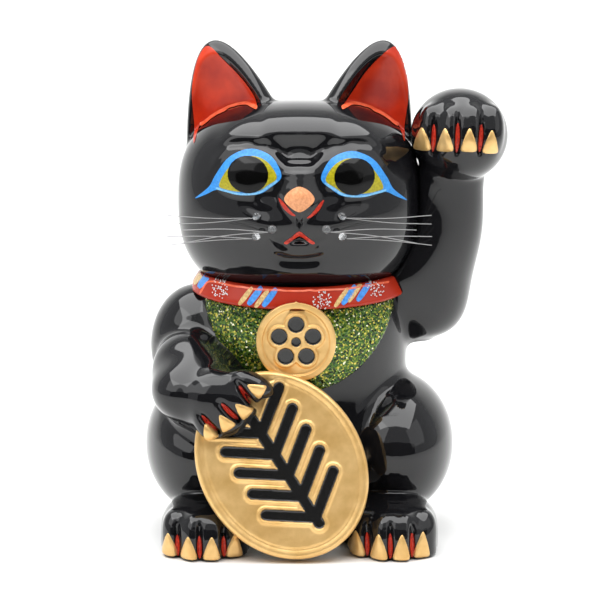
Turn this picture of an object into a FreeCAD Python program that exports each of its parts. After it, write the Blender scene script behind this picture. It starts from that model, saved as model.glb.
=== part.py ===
"""Beckoning cat figurine: a slip-cast, glazed ceramic coin bank in luted castings.

Frame: millimetres, +Z up, the cat faces -Y and its left (raised) arm is at +X.
The origin is on the surface that the cat stands on, under the middle of the torso.
"""

import FreeCAD
import Part
import math
import os
import re

DOC = FreeCAD.newDocument("beckoning_cat")
SHEET = DOC.addObject("Spreadsheet::Sheet", "Sizes")

SIZES = {
    # Ceramic wall, common to the hollow castings
    "wall": 4.2,
    "floor_thickness": 7,
    # Torso: half widths at named heights, and its depth against its width
    "hem_half_width": 52, "hip_half_width": 58, "hip_height": 14,
    "belly_half_width": 60, "belly_height": 46,
    "waist_half_width": 54.5, "waist_height": 86,
    "shoulder_half_width": 54, "shoulder_height": 112,
    "neck_half_width": 46, "neck_height": 130,
    "nape_half_width": 38, "nape_height": 143,
    "torso_depth_ratio": 0.92, "torso_set_back": 5,
    # Head: a rounded, squarish oval
    "head_half_width": 61, "head_half_depth": 51, "head_half_height": 50,
    "head_height": 168, "head_set_forward": 6, "squareness": 0.72,
    "neck_passage_radius": 20,
    # Relief of the face
    "eye_spread": 25.7, "eye_above_head": 15.5, "eye_half_width": 14, "eye_half_height": 12,
    "eye_proud": 2.6, "brow_above_eye": 13, "brow_half_width": 21, "brow_half_height": 6.5,
    "brow_proud": 3.2, "brow_slope": 16,
    "pad_spread": 11, "pad_below_head": 9.5, "pad_half_width": 16, "pad_half_height": 10,
    "muzzle_proud": 6.5, "chin_below_head": 26, "chin_half_width": 16, "chin_half_height": 10,
    "chin_proud": 4, "bridge_half_width": 8, "bridge_half_height": 17, "bridge_above_head": 14,
    "nose_half_width": 7.4, "nose_half_height": 6.2, "nose_depth": 5, "nose_above_head": 4.4,
    "nose_proud": 7.6,
    # Ears: paraboloids that lean outward, hollowed from the front
    "ear_half_width": 28, "ear_half_depth": 15, "ear_height": 51, "ear_seat_above_head": 30,
    "ear_spread": 31, "ear_lean": 15.5, "ear_turn": 20, "ear_rim": 3.4, "ear_hollow_depth": 9.5,
    # Raised left arm
    "elbow_spread": 58, "elbow_height": 125, "elbow_half_width": 30,
    "elbow_half_height": 32, "arm_set_back": 8,
    "forearm_mid_out": 8, "forearm_mid_rise": 23, "forearm_mid_radius": 26.5,
    "forearm_top_out": 13.5, "forearm_top_rise": 43, "forearm_top_radius": 21.5,
    "wrist_out": 18, "wrist_rise": 59, "wrist_radius": 18.5,
    "left_paw_out": 21.6, "left_paw_rise": 75.5, "left_paw_half_width": 24.3,
    "left_paw_half_depth": 27, "left_paw_half_height": 23.5, "left_paw_forward": 11,
    # Resting right arm
    "upper_arm_spread": 51.5, "upper_arm_height": 94, "upper_arm_half_width": 24,
    "upper_arm_half_depth": 27, "upper_arm_half_height": 31, "upper_arm_forward": 4,
    "forearm_spread": 50, "forearm_height": 80, "forearm_half_width": 21,
    "forearm_half_length": 35, "forearm_half_height": 18.5, "forearm_forward": 36,
    "forearm_turn": 18, "forearm_drop": 5, "right_wrist_spread": 60, "right_wrist_height": 105,
    "right_paw_spread": 40, "right_paw_height": 77, "right_paw_forward": 62,
    "right_paw_half_width": 17, "right_paw_half_length": 14.5, "right_paw_half_depth": 14,
    # Hind legs
    "thigh_spread": 47.5, "thigh_height": 44, "thigh_half_width": 31, "thigh_half_depth": 50,
    "thigh_half_height": 36, "thigh_forward": 3,
    "foot_spread": 46, "foot_half_width": 22.5, "foot_half_depth": 32, "foot_height": 25,
    "foot_forward": 45, "foot_sink": 4,
    # Toes and claws
    "toe_half_width": 6, "toe_half_depth": 9, "toe_half_height": 12, "toe_gap": 10.2,
    "toe_proud": 2, "foot_toe_half_height": 10.5,
    "right_toe_start": -28, "right_toe_step": 13.8, "right_toe_reach": 45.6,
    "claw_half_width": 3.4, "claw_half_depth": 3, "claw_half_height": 6.4, "claw_proud": 1,
    # Tail
    "tail_radius": 9, "tail_sink": 1.5, "tail_start": 70, "tail_sweep": 62,
    # Collar, bib, medal and coin
    "collar_thickness": 6, "collar_width": 10, "collar_height": 129, "collar_tilt": 6,
    "bib_thickness": 2.2, "bib_half_width": 48, "bib_drop": 52,
    "medal_radius": 19.4, "medal_thickness": 8, "medal_height": 103, "medal_offset": -1.6,
    "medal_rim": 3, "medal_crown": 9, "petal_radius": 5.6, "petal_reach": 8.6, "petal_border": 1.4,
    "coin_half_length": 47.5, "coin_half_width": 39.5, "coin_thickness": 9, "coin_roll": 33,
    "coin_lean": 12, "coin_offset": -8.6, "coin_forward": 64, "coin_rim": 4.5,
    "recess_depth": 1.2, "stroke_width": 6.6, "stroke_border": 1.2, "rib_count": 5,
    "rib_pitch": 12, "rib_slope": 36,
    # Whiskers: two nylon strands from each of three roots a side
    "whisker_radius": 0.3, "whisker_length": 43, "whisker_splay": 3, "bead_radius": 2.1,
    "upper_root_out": 9.4, "upper_root_rise": 6, "upper_droop": 2,
    "middle_root_out": 2, "middle_root_rise": 0.4, "middle_droop": 6,
    "lower_root_out": 9.6, "lower_root_rise": -3.2, "lower_droop": 3,
    # Coin slot, base hole and rubber stopper
    "slot_length": 36, "slot_width": 5, "slot_height": 106,
    "hole_radius": 16, "hole_set_back": 23.5, "seat_radius": 21, "seat_depth": 3,
    "stopper_clearance": 0.05, "stopper_flange": 2, "stopper_depth": 11, "stopper_wall": 2.5,
    "stopper_tab": 12,
}

FORMULA_WORDS = {"sin", "cos", "tan", "sqrt", "deg"}
RIGHT, LEFT = -1, 1


def fill_sheet():
    for row, (alias, value) in enumerate(SIZES.items(), start=1):
        SHEET.set(f"A{row}", alias.replace("_", " "))
        SHEET.set(f"B{row}", str(value))
        SHEET.setAlias(f"B{row}", alias)
    DOC.recompute()


def size(alias):
    """A driving dimension, for the few shapes that read the sheet in code."""
    return float(SHEET.get(alias))


def tied(formula):
    """The formula with each sheet alias in it spelled as FreeCAD's expressions want it."""
    def full(match):
        return match[0] if match[0] in FORMULA_WORDS else "Sizes." + match[0]
    return re.sub(r"[a-z][a-z_]*", full, formula)


def bind(thing, **formulas):
    for path, formula in formulas.items():
        thing.setExpression(path, tied(formula))
    return thing


def place(thing, x="0", y="0", z="0", yaw=None, pitch=None, roll=None, swing=None):
    """Ties a placement to the sheet: yaw about Z, pitch about Y, roll about X, in degrees.

    A swing is a turn about Y alone, for angles past a right angle.
    """
    for axis, formula in zip("xyz", (x, y, z)):
        thing.setExpression("Placement.Base." + axis, tied(formula))
    for turn, formula in (("Yaw", yaw), ("Pitch", pitch), ("Roll", roll)):
        if formula is not None:
            thing.setExpression("Placement.Rotation." + turn, tied(f"({formula}) * 1deg"))
    if swing is not None:
        thing.Placement.Rotation = FreeCAD.Rotation(FreeCAD.Vector(0, 1, 0), 1)
        thing.setExpression("Placement.Rotation.Angle", tied(f"({swing}) * 1deg"))
    return thing


def ellipsoid(name, half_x, half_y, half_z, **where):
    blank = DOC.addObject("Part::Ellipsoid", name)
    blank.Angle1 = -90
    bind(blank, Radius1=half_z, Radius2=half_x, Radius3=half_y)
    return place(blank, **where)


def cylinder(name, radius, height, **where):
    return place(bind(DOC.addObject("Part::Cylinder", name), Radius=radius, Height=height), **where)


def box(name, length, width, height, **where):
    return place(bind(DOC.addObject("Part::Box", name), Length=length, Width=width, Height=height),
                 **where)


def fuse(name, *pieces):
    whole = DOC.addObject("Part::MultiFuse", name)
    whole.Shapes = list(pieces)
    return whole


def common(name, *pieces):
    shared = DOC.addObject("Part::MultiCommon", name)
    shared.Shapes = list(pieces)
    return shared


def carve(name, blank, *tools):
    """Cuts the tools from the blank one by one; the last cut carries the name."""
    for number, tool in enumerate(tools, start=1):
        last = number == len(tools)
        cut = DOC.addObject("Part::Cut", name if last else f"{name}_cut{number}")
        cut.Base, cut.Tool = blank, tool
        blank = cut
    return blank


def stack(name, sections, depth_ratio):
    """A loft through level circles (height, radius, x, y), then squashed front to back."""
    rings = []
    for number, (height, radius, x, y) in enumerate(sections):
        ring = bind(DOC.addObject("Part::Circle", f"{name}_ring{number}"), Radius=radius)
        rings.append(place(ring, x=x, y=y, z=height))
    round_loft = DOC.addObject("Part::Loft", name + "_round")
    round_loft.Sections, round_loft.Solid = rings, True
    squashed = DOC.addObject("Part::Scale", name)
    squashed.Base, squashed.Uniform = round_loft, False
    return bind(squashed, XScale="1", YScale=depth_ratio, ZScale="1")


def unit_ball():
    """A ball one millimetre in radius whose profile bulges past a circle's at the diagonals."""
    quarters = []
    for end in (-1, 1):
        quarter = Part.BezierCurve()
        quarter.setPoles([FreeCAD.Vector(0, 0, end), FreeCAD.Vector(size("squareness"), 0, end),
                          FreeCAD.Vector(1, 0, end * size("squareness")),
                          FreeCAD.Vector(1, 0, 0)])
        quarters.append(quarter.toShape())
    axis = Part.makeLine(FreeCAD.Vector(0, 0, -1), FreeCAD.Vector(0, 0, 1))
    ball = DOC.addObject("Part::Feature", "unit_ball")
    ball.Shape = Part.Face(Part.Wire(Part.__sortEdges__([*quarters, axis]))).revolve(
        FreeCAD.Vector(0, 0, 0), FreeCAD.Vector(0, 0, 1), 360)
    return ball


def unit_disc():
    """A disc one millimetre in radius and thickness, to be scaled into oval plates."""
    return cylinder("unit_disc", "1", "1")


def unit_dome():
    """A paraboloid one millimetre in radius and height, to be scaled into ears."""
    curve = Part.BezierCurve()
    curve.setPoles([FreeCAD.Vector(0, 0, 1), FreeCAD.Vector(0.5, 0, 1), FreeCAD.Vector(1, 0, 0)])
    axis_foot = FreeCAD.Vector(0, 0, 0)
    half = Part.Wire([curve.toShape(), Part.makeLine(FreeCAD.Vector(1, 0, 0), axis_foot),
                      Part.makeLine(axis_foot, FreeCAD.Vector(0, 0, 1))])
    dome = DOC.addObject("Part::Feature", "unit_dome")
    dome.Shape = Part.Face(half).revolve(axis_foot, FreeCAD.Vector(0, 0, 1), 360)
    return dome


def scaled(name, blank, half_x, half_y, height, **where):
    """A unit blank (ball, disc or dome) scaled along its axes and placed."""
    shape = DOC.addObject("Part::Scale", name)
    shape.Base, shape.Uniform = blank, False
    bind(shape, XScale=half_x, YScale=half_y, ZScale=height)
    return place(shape, **where)


def torso_skin(name, grown, foot=()):
    """The outside of the torso, grown outward by a formula (negative for its cavity)."""
    stations = [*foot, ("hem", "0", "torso_set_back"), ("hip", "hip_height", "torso_set_back"),
                ("belly", "belly_height", "torso_set_back"),
                ("waist", "waist_height", "torso_set_back / 2"),
                ("shoulder", "shoulder_height", "0"),
                ("neck", "neck_height", "0 - head_set_forward / 2"),
                ("nape", "nape_height", "0 - head_set_forward / 2")]
    return stack(name, [(height, f"{station}_half_width + {grown}", "0", y)
                        for station, height, y in stations], "torso_depth_ratio")


def torso_cavity(name):
    """The hollow, carried straight on below the ground, so that its mouth is cut flat."""
    return torso_skin(name, "(0 - wall)", [("hem", "0 - floor_thickness", "torso_set_back")])


def torso_shell(skin, head):
    inside = torso_cavity("torso_inside")
    slot = box("coin_slot", "slot_length", "hip_half_width * 2", "slot_width",
               x="0 - slot_length / 2", z="slot_height - slot_width / 2")
    return carve("torso_shell", skin, inside, slot, head)


def base_plate():
    """The disc luted into the foot of the torso, with the hole that empties the bank."""
    blank = common("base_blank", torso_cavity("base_edge"),
                   box("base_slab", "belly_half_width * 2", "belly_half_width * 2",
                       "floor_thickness", x="0 - belly_half_width", y="0 - belly_half_width"))
    hole = cylinder("base_hole", "hole_radius", "floor_thickness", y="hole_set_back")
    seat = cylinder("base_seat", "seat_radius", "seat_depth", y="hole_set_back")
    return carve("base_plate", blank, hole, seat)


def stopper():
    """The rubber plug: a hollow cup with a flange, and a tab to pull it by."""
    stem = cylinder("stopper_stem", "hole_radius - stopper_clearance", "stopper_depth",
                    y="hole_set_back", z="seat_depth - stopper_flange")
    flange = cylinder("stopper_rim", "(hole_radius + seat_radius) / 2", "stopper_flange",
                      y="hole_set_back", z="seat_depth - stopper_flange")
    bowl = cylinder("stopper_bowl", "hole_radius - stopper_wall", "stopper_depth",
                    y="hole_set_back", z="seat_depth - stopper_flange - stopper_wall")
    tab = box("stopper_grip", "stopper_tab", "stopper_wall", "stopper_depth - stopper_wall",
              x="0 - stopper_tab / 2", y="hole_set_back - stopper_wall / 2",
              z="seat_depth - stopper_flange")
    return fuse("stopper", carve("stopper_cup", fuse("stopper_blank", stem, flange), bowl), tab)


def muzzle(hand, side):
    return ellipsoid(hand + "_muzzle", "pad_half_width", "muzzle_proud * 2", "pad_half_height",
                     x=f"{side} * pad_spread",
                     y="muzzle_proud - head_set_forward - head_half_depth",
                     z="head_height - pad_below_head")


def face_relief(ball):
    """Chin, nose, bridge, brows and eyes raised on the head."""
    swells = [
        scaled("chin", ball, "chin_half_width", "chin_proud * 3", "chin_half_height",
               y="chin_proud * 2 - head_set_forward - head_half_depth * 0.82",
               z="head_height - chin_below_head"),
        ellipsoid("nose_bridge", "bridge_half_width", "muzzle_proud * 2", "bridge_half_height",
                  y="muzzle_proud - head_set_forward - head_half_depth",
                  z="head_height + bridge_above_head"),
        ellipsoid("nose", "nose_half_width", "nose_depth", "nose_half_height",
                  y="nose_depth - head_set_forward - head_half_depth - nose_proud",
                  z="head_height + nose_above_head"),
    ]
    for side, hand in ((RIGHT, "right"), (LEFT, "left")):
        eye_y = ("0 - head_set_forward - head_half_depth * sqrt(0.97"
                 " - (eye_spread / head_half_width) * (eye_spread / head_half_width))"
                 " + eye_half_height - eye_proud")
        swells.append(ellipsoid(
            hand + "_eye", "eye_half_width", "eye_half_height", "eye_half_height",
            x=f"{side} * eye_spread", y=eye_y, z="head_height + eye_above_head",
            pitch=f"{side} * brow_slope"))
        swells.append(ellipsoid(
            hand + "_brow", "brow_half_width", "brow_proud * 4", "brow_half_height",
            x=f"{side} * eye_spread", y=eye_y + " - eye_half_height + eye_proud + brow_proud * 3",
            z="head_height + eye_above_head + brow_above_eye", pitch=f"{side} * brow_slope"))
    return swells


def head_shell(blank, ball):
    hollow = scaled("head_hollow", ball, "head_half_width - wall", "head_half_depth - wall",
                    "head_half_height - wall", y="0 - head_set_forward", z="head_height")
    passage = cylinder("neck_passage", "neck_passage_radius", "head_half_height",
                       y="0 - head_set_forward", z="head_height - head_half_height")
    return carve("head_shell", blank, hollow, passage)


def ear(hand, side, dome, head):
    stance = {"x": f"{side} * ear_spread", "y": "0 - head_set_forward",
              "z": "head_height + ear_seat_above_head",
              "yaw": f"{side} * ear_turn", "pitch": f"{side} * ear_lean"}
    flesh = scaled(hand + "_ear_blank", dome, "ear_half_width", "ear_half_depth", "ear_height")
    cup = scaled(hand + "_ear_cup", dome, "ear_half_width - ear_rim",
                 "ear_half_depth", "ear_height - ear_rim", y="0 - ear_hollow_depth")
    stood = place(carve(hand + "_ear_hollowed", flesh, cup), **stance)
    return carve(hand + "_ear", stood, head)


def toes(name, paw, count=4):
    """Toes side by side over the front of a paw, each with its claw, as loose swells."""
    swells = []
    for number in range(count):
        offset = f"(({number} - {(count - 1) / 2}) * toe_gap)"
        front = f"({paw['half_depth']}) * sqrt(1 - {offset} * {offset} / ({paw['half_width']})"
        front += f" / ({paw['half_width']}))"
        y = f"{paw['y']} - {front} + toe_half_depth - toe_proud"
        where = {"x": f"{paw['x']} + {offset}", "z": paw["toe_z"]}
        swells.append(ellipsoid(f"{name}_toe{number + 1}", "toe_half_width", "toe_half_depth",
                                paw["toe_half_height"], y=y, **where))
        where["z"] += " - toe_half_width / 2"
        swells.append(ellipsoid(f"{name}_claw{number + 1}", "claw_half_width", "claw_half_depth",
                                "claw_half_height", y=y + " - toe_half_depth + claw_half_depth"
                                " - claw_proud", **where))
    return swells


def left_arm(torso, head):
    """The raised arm, hollow up to the wrist, with its paw turned to the front."""
    def limb(name, grown):
        rings = [(f"elbow_height - elbow_half_height * {drop}",
                  f"elbow_half_width * {width} + {grown}", "elbow_spread", "arm_set_back")
                 for drop, width in ((0.96, 0.32), (0.8, 0.62), (0.45, 0.9), (0, 1))]
        rings += [(f"elbow_height + {joint}_rise", f"{radius} + {grown}",
                   f"elbow_spread + {joint}_out", y)
                  for joint, radius, y in (
                      ("forearm_mid", "forearm_mid_radius", "arm_set_back * 0.6"),
                      ("forearm_top", "forearm_top_radius", "0"),
                      ("wrist", "wrist_radius", "0 - left_paw_forward / 2"),
                      ("left_paw", "wrist_radius", "0 - left_paw_forward"))]
        return stack(name, rings, "1")

    paw = {"x": "elbow_spread + left_paw_out", "y": "0 - left_paw_forward",
           "half_width": "left_paw_half_width", "half_depth": "left_paw_half_depth",
           "toe_z": "elbow_height + left_paw_rise + toe_half_width / 2",
           "toe_half_height": "toe_half_height + 2"}
    palm = ellipsoid("left_palm", "left_paw_half_width", "left_paw_half_depth",
                     "left_paw_half_height", x=paw["x"], y=paw["y"],
                     z="elbow_height + left_paw_rise")
    solid = fuse("left_arm_blank", limb("left_arm_skin", "0"), palm, *toes("left_paw", paw))
    return solid, carve("left_arm", solid, limb("left_arm_hollow", "(0 - wall)"), head, torso)


def right_arm(torso, head, leg, coin):
    """The resting arm: upper arm, forearm, and a paw whose toes fan out from the wrist."""
    solid = [
        ellipsoid("right_upper_arm", "upper_arm_half_width", "upper_arm_half_depth",
                  "upper_arm_half_height", x="0 - upper_arm_spread",
                  y="0 - upper_arm_forward", z="upper_arm_height"),
        ellipsoid("right_forearm", "forearm_half_width", "forearm_half_length",
                  "forearm_half_height", x="0 - forearm_spread", y="0 - forearm_forward",
                  z="forearm_height", yaw="0 - forearm_turn", roll="forearm_drop"),
        ellipsoid("right_palm", "right_paw_half_width", "right_paw_half_depth",
                  "right_paw_half_length", x="0 - right_paw_spread",
                  y="0 - right_paw_forward", z="right_paw_height"),
    ]
    for number in range(4):
        turn = f"(right_toe_start - {number} * right_toe_step)"
        for part, reach, depth, halves in (
                ("toe", "right_toe_reach - toe_half_width / 2", "right_paw_half_depth"
                 " - toe_half_depth + toe_proud", ("toe_half_height", "toe_half_depth",
                                                   "toe_half_width")),
                ("claw", "right_toe_reach", "right_paw_half_depth"
                 " - claw_half_depth + toe_proud + claw_proud",
                 ("claw_half_height", "claw_half_depth", "claw_half_width"))):
            solid.append(ellipsoid(
                f"right_{part}{number + 1}", *halves,
                x=f"({reach}) * cos({turn} * 1deg) - right_wrist_spread",
                y=f"0 - right_paw_forward - ({depth}) * 0.8",
                z=f"right_wrist_height + ({reach}) * sin({turn} * 1deg)", swing="0 - " + turn))
    blank = fuse("right_arm_blank", *solid)
    return blank, carve("right_arm", blank, torso, head, leg, coin)


def hind_leg(hand, side, ball, torso, ground, coin):
    """Haunch and foot; the haunch is hollow against the torso."""
    def haunch(name, grown):
        return ellipsoid(name, f"thigh_half_width + {grown}", f"thigh_half_depth + {grown}",
                         f"thigh_half_height + {grown}", x=f"{side} * thigh_spread",
                         y="0 - thigh_forward", z="thigh_height")

    foot = scaled(hand + "_foot", ball, "foot_half_width", "foot_half_depth",
                  "foot_height / 2 + foot_sink", x=f"{side} * foot_spread",
                  y="0 - foot_forward", z="foot_height / 2 - foot_sink")
    paw = {"x": f"{side} * foot_spread", "y": "0 - foot_forward", "half_width": "foot_half_width",
           "half_depth": "foot_half_depth", "toe_z": "foot_height / 2",
           "toe_half_height": "foot_toe_half_height"}
    solid = fuse(hand + "_leg_blank", haunch(hand + "_haunch", "0"), foot,
                 *toes(hand + "_foot", paw))
    return solid, carve(hand + "_leg", solid, haunch(hand + "_haunch_hollow", "(0 - wall)"),
                        torso, ground, coin)


def tail(torso, ground, *legs):
    """A short tail curled round the foot of the back toward the cat's right."""
    curl = DOC.addObject("Part::Torus", "tail_curl")
    bind(curl, Radius1="hip_half_width * torso_depth_ratio + torso_set_back",
         Radius2="tail_radius", Angle3="tail_sweep")
    place(curl, z="tail_radius - tail_sink", yaw="tail_start")
    ends = []
    for name, turn in (("root", "tail_start"), ("tip", "tail_start + tail_sweep")):
        ends.append(ellipsoid(
            "tail_" + name, *["tail_radius * 1.06"] * 3,
            x=f"(hip_half_width * torso_depth_ratio + torso_set_back) * cos(({turn}) * 1deg)",
            y=f"(hip_half_width * torso_depth_ratio + torso_set_back) * sin(({turn}) * 1deg)",
            z="tail_radius - tail_sink"))
    return carve("tail", fuse("tail_blank", curl, *ends), torso, ground, *legs)


def collar(torso, head, *arms):
    slab = box("collar_slab", "elbow_spread * 4", "elbow_spread * 4", "collar_width",
               x="0 - elbow_spread * 2", y="0 - elbow_spread * 2", z="0 - collar_width / 2")
    tilted = place(common("collar_level", slab), z="collar_height", roll="collar_tilt")
    band = common("collar_band", torso_skin("collar_skin", "collar_thickness"), tilted)
    return band, carve("collar", band, torso, head, *arms)


def bib(torso, head, disc, *covers):
    outline = scaled("bib_outline", disc, "bib_half_width", "bib_drop", "elbow_spread * 2",
                     z="collar_height", roll="90")
    above = place(common("bib_above", box(
        "bib_top", "elbow_spread * 4", "elbow_spread * 4", "bib_drop * 2",
        x="0 - elbow_spread * 2", y="0 - elbow_spread * 2")), z="collar_height",
        roll="collar_tilt")
    skin = torso_skin("bib_skin", "bib_thickness")
    patch = carve("bib_patch", common("bib_front", skin, outline), above)
    return skin, carve("bib", patch, torso, head, *covers)


def stand_coin(name, flat):
    """Turns a flat plate about its own axis, then stands it on its edge, leaning back."""
    turned = place(common(name + "_turned", flat), yaw="coin_roll")
    rise = ("cos(coin_lean * 1deg) * sqrt(coin_half_length * cos(coin_roll * 1deg)"
            " * coin_half_length * cos(coin_roll * 1deg) + coin_half_width"
            " * sin(coin_roll * 1deg) * coin_half_width * sin(coin_roll * 1deg))")
    return place(common(name, turned), x="coin_offset", y="0 - coin_forward", z=rise,
                 roll="90 - coin_lean")


def coin_strokes(name, width):
    """A leaf: a spine along the plate and pairs of ribs that branch upward from it."""
    bars = [box(name + "_spine", width, "coin_half_length * 1.4", "coin_thickness",
                x=f"0 - ({width}) / 2", y="0 - coin_half_length * 0.7")]
    for side in (RIGHT, LEFT):
        for number in range(int(size("rib_count"))):
            bar = box(f"{name}_rib{number + 1}_{'left' if side == LEFT else 'right'}",
                      "coin_half_width * 0.6", width, "coin_thickness")
            lift = f"(({number} - rib_count / 2) * rib_pitch)"
            if side == LEFT:
                place(bar, x=f"sin(rib_slope * 1deg) * ({width}) / 2",
                      y=f"{lift} - cos(rib_slope * 1deg) * ({width}) / 2", yaw="rib_slope")
            else:
                place(bar, x=f"sin(rib_slope * 1deg) * ({width}) / 2",
                      y=f"{lift} + cos(rib_slope * 1deg) * ({width}) / 2",
                      yaw="180 - rib_slope")
            bars.append(bar)
    return fuse(name, *bars)


def koban(disc, *neighbours):
    """The oval coin: a rim, and sunken strokes with raised borders in a sunken field."""
    def plate(name, shrink, floor):
        return scaled(name, disc, f"coin_half_width - {shrink}", f"coin_half_length - {shrink}",
                      "coin_thickness", z=floor)

    deep = "coin_thickness - recess_depth"
    field = carve("koban_field", plate("koban_inner", "coin_rim", deep),
                  coin_strokes("koban_border", "stroke_width"))
    strokes = common("koban_strokes", plate("koban_inmost", "(coin_rim + stroke_border)", deep),
                     coin_strokes("koban_stroke", "stroke_width - stroke_border * 2"))
    face = carve("koban_flat", plate("koban_blank", "0", "0"), field, strokes)
    return carve("koban", stand_coin("koban_stood", face), *neighbours)


def medallion(disc, *neighbours):
    """The round medal: a crowned rim and a plum blossom of sunken petals."""
    def flower(name, shrink):
        petals = [cylinder(name + "_eye", f"petal_radius * 0.7 - {shrink}", "medal_thickness")]
        for number in range(5):
            turn = f"({90 + 72 * number} * 1deg)"
            petals.append(cylinder(f"{name}_petal{number + 1}", f"petal_radius - {shrink}",
                                   "medal_thickness", x=f"petal_reach * cos{turn}",
                                   y=f"petal_reach * sin{turn}"))
        return fuse(name, *petals)

    deep = "medal_thickness - recess_depth"
    plate = cylinder("medal_plate", "medal_radius", "medal_thickness")
    crown = box("medal_crown_point", "medal_crown", "medal_crown", "medal_thickness",
                y="medal_radius + 0.8 - medal_crown * sqrt(2)", yaw="45")
    inner = cylinder("medal_inner", "medal_radius - medal_rim", "medal_thickness", z=deep)
    field = carve("medal_field", inner, flower("medal_flower", "0"))
    petals = common("medal_petals", flower("medal_petal", "petal_border"),
                    scaled("medal_depth", disc, "medal_radius", "medal_radius",
                           "medal_thickness", z=deep))
    flat = carve("medal_flat", fuse("medal_blank", plate, crown), field, petals)
    stood = place(common("medal_stood", flat), x="medal_offset", z="medal_height", roll="90",
                  y="0 - shoulder_half_width * torso_depth_ratio + medal_thickness * 0.25")
    return carve("medallion", stood, *neighbours)


def whisker_roots(pads):
    """Each root's name, side, droop, place and muzzle pad."""
    for side, hand in ((RIGHT, "right"), (LEFT, "left")):
        for row in ("upper", "middle", "lower"):
            out, rise = row + "_root_out", row + "_root_rise"
            bulge = (f"sqrt(1 - {out} * {out} / pad_half_width / pad_half_width"
                     f" - {rise} * {rise} / pad_half_height / pad_half_height)")
            yield f"{hand}_{row}", side, row + "_droop", pads[hand], {
                "x": f"{side} * (pad_spread + {out})",
                "y": "muzzle_proud - head_set_forward - head_half_depth"
                     f" - muzzle_proud * 2 * {bulge}",
                "z": f"head_height - pad_below_head + {rise}"}


def whiskers(head, pads):
    """Tufts of two stiff strands, each set in a bead of clear glue."""
    tufts, beads = [], []
    for name, side, droop, pad, root in whisker_roots(pads):
        strands = [cylinder(f"{name}_{strand}", "whisker_radius", "whisker_length",
                            swing=f"{side} * (90 + {droop} {sign} whisker_splay)", **root)
                   for strand, sign in (("high", "-"), ("low", "+"))]
        bead = ellipsoid(name + "_bead", *["bead_radius"] * 3, roll="90", **root)
        tufts.append(carve(name + "_whiskers", fuse(name + "_strands", *strands), bead))
        beads.append(carve(name + "_glue", bead, head, pad))
    glue = DOC.addObject("Part::Compound", "whisker_glue")
    glue.Links = beads
    return tufts, glue


def build():
    """Makes every sub-part and returns those that are exported."""
    fill_sheet()
    ball, disc, dome = unit_ball(), unit_disc(), unit_dome()
    ground = box("ground", "elbow_spread * 6", "elbow_spread * 6", "elbow_spread",
                 x="0 - elbow_spread * 3", y="0 - elbow_spread * 3", z="0 - elbow_spread")
    torso_outside = torso_skin("torso_outside", "0")
    head_core = scaled("head_core", ball, "head_half_width", "head_half_depth",
                       "head_half_height", y="0 - head_set_forward", z="head_height")
    coin_space = stand_coin("coin_space", scaled(
        "coin_outline", disc, "coin_half_width", "coin_half_length", "coin_thickness"))

    pads = {hand: muzzle(hand, side) for hand, side in (("left", LEFT), ("right", RIGHT))}
    head_blank = fuse("head_blank", head_core, *pads.values(), *face_relief(ball))
    head = head_shell(head_blank, ball)
    left_arm_blank, left_arm_casting = left_arm(torso_outside, head_core)
    left_leg_blank, left_leg = hind_leg("left", LEFT, ball, torso_outside, ground, coin_space)
    right_leg_blank, right_leg = hind_leg("right", RIGHT, ball, torso_outside, ground,
                                          coin_space)
    right_arm_blank, right_arm_casting = right_arm(torso_outside, head_core, right_leg_blank,
                                                   coin_space)
    arms = (left_arm_blank, right_arm_blank)
    band, collar_ring = collar(torso_outside, head_blank, *arms)
    bib_skin, bib_patch = bib(torso_outside, head_blank, disc, band, *arms)
    tufts, glue = whiskers(head_core, pads)
    return [
        torso_shell(torso_outside, head_blank), base_plate(), stopper(), head,
        ear("left", LEFT, dome, head_blank), ear("right", RIGHT, dome, head_blank),
        left_arm_casting, right_arm_casting, left_leg, right_leg,
        tail(torso_outside, ground, left_leg_blank, right_leg_blank), collar_ring, bib_patch,
        medallion(disc, bib_skin, band, coin_space, right_arm_blank),
        koban(disc, torso_outside), *tufts, glue,
    ]


def export(nodes):
    DOC.recompute()
    for thing in DOC.Objects:
        if {"Invalid", "Error"} & set(thing.State):
            raise RuntimeError(f"{thing.Label} failed to recompute: {thing.State}")
    for node in nodes:
        if node.Shape.isNull() or not node.Shape.isValid() or not node.Shape.Solids:
            raise RuntimeError(node.Label + " has no valid solid")
    os.makedirs("parts", exist_ok=True)
    for node in nodes:
        node.Shape.exportStep(f"parts/{node.Label}.step")


export(build())
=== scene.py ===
"""Beckoning cat figurine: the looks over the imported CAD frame.

Metres, +Z up, the cat faces -Y and its raised left arm is at +X. The glazed skins are signed
distances in millimetres on grids of sample points, and are meshed from those. Paint is thin
sheets laid on the skins, from outlines given across (x) and up (z) in millimetres.
"""

import math

import bmesh
import bpy
import numpy as np
import openvdb as vdb
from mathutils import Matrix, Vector, noise
from mathutils.bvhtree import BVHTree
from mathutils.geometry import delaunay_2d_cdt


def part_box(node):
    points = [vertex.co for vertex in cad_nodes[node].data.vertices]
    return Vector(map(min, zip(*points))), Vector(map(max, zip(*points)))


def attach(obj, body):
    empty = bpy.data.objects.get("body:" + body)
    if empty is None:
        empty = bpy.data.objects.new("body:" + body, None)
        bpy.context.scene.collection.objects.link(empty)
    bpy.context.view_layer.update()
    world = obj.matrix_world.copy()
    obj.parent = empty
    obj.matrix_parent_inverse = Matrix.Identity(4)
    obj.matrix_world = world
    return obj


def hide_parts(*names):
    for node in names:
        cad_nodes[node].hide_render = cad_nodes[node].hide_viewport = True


MM = 0.001
RIGHT, LEFT = -1, 1

BODY_STEP, HEAD_STEP, COLLAR_STEP, BIB_STEP, COIN_STEP, MEDAL_STEP = 0.8, 0.6, 0.7, 0.6, 0.45, 0.35


# ---------------------------------------------------------------- signed distances

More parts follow.
